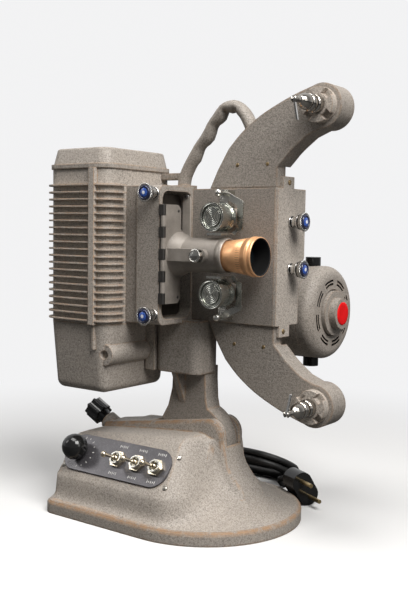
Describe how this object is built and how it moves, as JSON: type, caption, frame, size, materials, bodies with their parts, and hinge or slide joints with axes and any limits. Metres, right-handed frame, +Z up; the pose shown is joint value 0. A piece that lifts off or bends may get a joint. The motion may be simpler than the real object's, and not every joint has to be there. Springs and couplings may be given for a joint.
{
  "type": "film projector",
  "caption": "Silent film projector with a finned lamphouse, hinged lens carrier and curved reel arms, on a cast base with a tilt knob and control panel.",
  "frame": {"origin": "middle of the base's underside, where it meets the floor", "axes": "+X the way the lens points, +Z up, -Y the film side"},
  "size_m": [0.3015, 0.2429, 0.3862],
  "materials": {
    "paint": "taupe grey hammered enamel, worn at the edges",
    "steel": "plain ground steel",
    "panel": "dark grey satin plate",
    "chrome": "bright plate",
    "bakelite": "black moulded, polished",
    "rubber": "black rubber",
    "brass": "dull brass",
    "bearing": "olive tan enamel",
    "carrier": "grey satin casting",
    "copper": "copper gold anodised",
    "glass": "clear"
  },
  "bodies": {
    "base": {"base_casting": "paint", "base_plate": "steel", "panel_plate": "panel", "switch_bodies": "steel", "switch_nuts": "chrome", "rheostat": "bakelite", "pivot_pin": "steel", "cord_gland": "rubber", "cord_lead": "rubber", "cord_coil": "rubber", "cord_tail": "rubber", "plug_body": "bakelite", "plug_pins": "brass"},
    "head": {"stem_casting": "paint", "mech_housing": "paint", "front_cover": "paint", "head_screws": "brass", "upper_arm": "paint", "lower_arm": "paint", "arm_bearings": "bearing", "handle": "paint", "lamphouse_shell": "paint", "lamphouse_cap": "paint", "lower_housing": "paint", "lamp": "glass", "lamp_socket": "bakelite", "condensers": "glass", "gate_block": "paint", "aperture_plate": "steel", "hinge_leaf": "steel", "keeper_posts": "chrome", "motor_shell": "paint", "motor_bell": "paint", "brush_caps": "bakelite"},
    "tilt_knob": {"tilt_knob": "bakelite"},
    "tilt_nut": {"tilt_nut": "brass"},
    "speed_knob": {"speed_knob": "bakelite"},
    "toggle_motor": {"toggle_motor": "chrome"},
    "toggle_lamp": {"toggle_lamp": "chrome"},
    "toggle_direction": {"toggle_direction": "chrome"},
    "motor_rotor": {"motor_rotor": "paint"},
    "shutter_shaft": {"shutter_shaft": "steel"},
    "worm_shaft": {"worm_shaft": "steel"},
    "claw": {"claw": "steel"},
    "upper_sprocket": {"upper_sprocket": "chrome"},
    "lower_sprocket": {"lower_sprocket": "chrome"},
    "upper_keeper": {"upper_keeper": "chrome"},
    "lower_keeper": {"lower_keeper": "chrome"},
    "upper_spindle": {"upper_spindle": "chrome"},
    "lower_spindle": {"lower_spindle": "chrome"},
    "upper_latch": {"upper_latch": "chrome"},
    "lower_latch": {"lower_latch": "chrome"},
    "lens_carrier": {"lens_carrier": "carrier"},
    "clamp_screw": {"clamp_screw": "chrome"},
    "gate_knob_top": {"gate_knob_top": "chrome"},
    "gate_knob_bottom": {"gate_knob_bottom": "chrome"},
    "cover_knob_top": {"cover_knob_top": "chrome"},
    "cover_knob_bottom": {"cover_knob_bottom": "chrome"},
    "lens": {"lens_barrel": "copper", "lens_glasses": "glass"}
  },
  "joints": [
    {"name": "head_tilt", "type": "hinge", "parent": "base", "child": "head", "pos_m": [0.008, 0, 0.07], "axis": [0, -1, 0], "range_deg": [0, 10]},
    {"name": "tilt_knob_turn", "type": "hinge", "parent": "base", "child": "tilt_knob", "pos_m": [-0.122, 0, 0.079], "axis": [0.8854, 0, -0.4648], "range_deg": [0, 1700]},
    {"name": "tilt_nut_travel", "type": "slide", "parent": "base", "child": "tilt_nut", "axis": [0.8854, 0, -0.4648], "range_m": [0, 0.0095]},
    {"name": "speed_turn", "type": "hinge", "parent": "base", "child": "speed_knob", "pos_m": [-0.08302, -0.06407, 0.05454], "axis": [0, -0.788, 0.6157], "range_deg": [0, 280]},
    {"name": "motor_switch", "type": "hinge", "parent": "base", "child": "toggle_motor", "pos_m": [-0.03629, -0.06943, 0.05873], "axis": [-1, 0, 0], "range_deg": [0, 32]},
    {"name": "lamp_switch", "type": "hinge", "parent": "base", "child": "toggle_lamp", "pos_m": [-0.01324, -0.06943, 0.05873], "axis": [-1, 0, 0], "range_deg": [0, 32]},
    {"name": "direction_switch", "type": "hinge", "parent": "base", "child": "toggle_direction", "pos_m": [0.0086, -0.06943, 0.05873], "axis": [-1, 0, 0], "range_deg": [0, 32]},
    {"name": "motor_spin", "type": "hinge", "parent": "head", "child": "motor_rotor", "pos_m": [0.05, 0.0795, 0.1895], "axis": [1, 0, 0], "continuous": true},
    {"name": "shutter_spin", "type": "hinge", "parent": "head", "child": "shutter_shaft", "pos_m": [0, 0.002, 0.243], "axis": [1, 0, 0], "continuous": true},
    {"name": "worm_spin", "type": "hinge", "parent": "head", "child": "worm_shaft", "pos_m": [0.072, 0.002, 0.243], "axis": [0, 0, 1], "continuous": true},
    {"name": "claw_pull", "type": "slide", "parent": "head", "child": "claw", "axis": [0, 0, 1], "range_m": [-0.00381, 0.00381]},
    {"name": "upper_sprocket_spin", "type": "hinge", "parent": "head", "child": "upper_sprocket", "pos_m": [0.0485, 0, 0.276], "axis": [0, 1, 0], "continuous": true},
    {"name": "upper_keeper_open", "type": "hinge", "parent": "head", "child": "upper_keeper", "pos_m": [0.045, -0.022, 0.297], "axis": [0, -1, 0], "range_deg": [0, 25]},
    {"name": "upper_spindle_spin", "type": "hinge", "parent": "head", "child": "upper_spindle", "pos_m": [0.131, 0, 0.3677], "axis": [0, 1, 0], "continuous": true},
    {"name": "upper_latch_flip", "type": "hinge", "parent": "upper_spindle", "child": "upper_latch", "pos_m": [0.131, -0.0514, 0.3677], "axis": [-1, 0, 0], "range_deg": [0, 110]},
    {"name": "lower_sprocket_spin", "type": "hinge", "parent": "head", "child": "lower_sprocket", "pos_m": [0.0485, 0, 0.21], "axis": [0, 1, 0], "continuous": true},
    {"name": "lower_keeper_open", "type": "hinge", "parent": "head", "child": "lower_keeper", "pos_m": [0.045, -0.022, 0.189], "axis": [0, 1, 0], "range_deg": [0, 25]},
    {"name": "lower_spindle_spin", "type": "hinge", "parent": "head", "child": "lower_spindle", "pos_m": [0.131, 0, 0.1183], "axis": [0, 1, 0], "continuous": true},
    {"name": "lower_latch_flip", "type": "hinge", "parent": "lower_spindle", "child": "lower_latch", "pos_m": [0.131, -0.0514, 0.1183], "axis": [1, 0, 0], "range_deg": [0, 110]},
    {"name": "carrier_open", "type": "hinge", "parent": "head", "child": "lens_carrier", "pos_m": [0.006, -0.057, 0.243], "axis": [0, 0, -1], "range_deg": [0, 95]},
    {"name": "lens_focus", "type": "slide", "parent": "lens_carrier", "child": "lens", "axis": [1, 0, 0], "range_m": [0, 0.008]},
    {"name": "clamp_turn", "type": "hinge", "parent": "lens_carrier", "child": "clamp_screw", "pos_m": [0.043, -0.053, 0.243], "axis": [0, -1, 0], "range_deg": [0, 270]},
    {"name": "gate_knob_top_turn", "type": "hinge", "parent": "head", "child": "gate_knob_top", "pos_m": [-0.003, -0.058, 0.296], "axis": [0, -1, 0], "range_deg": [0, 720]},
    {"name": "gate_knob_bottom_turn", "type": "hinge", "parent": "head", "child": "gate_knob_bottom", "pos_m": [-0.003, -0.058, 0.1895], "axis": [0, -1, 0], "range_deg": [0, 720]},
    {"name": "cover_knob_top_turn", "type": "hinge", "parent": "head", "child": "cover_knob_top", "pos_m": [0.093, 0.012, 0.273], "axis": [1, 0, 0], "range_deg": [0, 720]},
    {"name": "cover_knob_bottom_turn", "type": "hinge", "parent": "head", "child": "cover_knob_bottom", "pos_m": [0.093, 0.012, 0.232], "axis": [1, 0, 0], "range_deg": [0, 720]}
  ],
  "couplings": [
    {"joint": "tilt_knob_turn", "follows": "head_tilt", "ratio": 164.81},
    {"joint": "tilt_nut_travel", "follows": "head_tilt", "m_per_rad": 0.052461},
    {"joint": "shutter_spin", "follows": "motor_spin", "ratio": 0.33333},
    {"joint": "worm_spin", "follows": "motor_spin", "ratio": 0.33333},
    {"joint": "upper_sprocket_spin", "follows": "motor_spin", "ratio": 0.033333},
    {"joint": "lower_sprocket_spin", "follows": "motor_spin", "ratio": 0.033333}
  ]
}
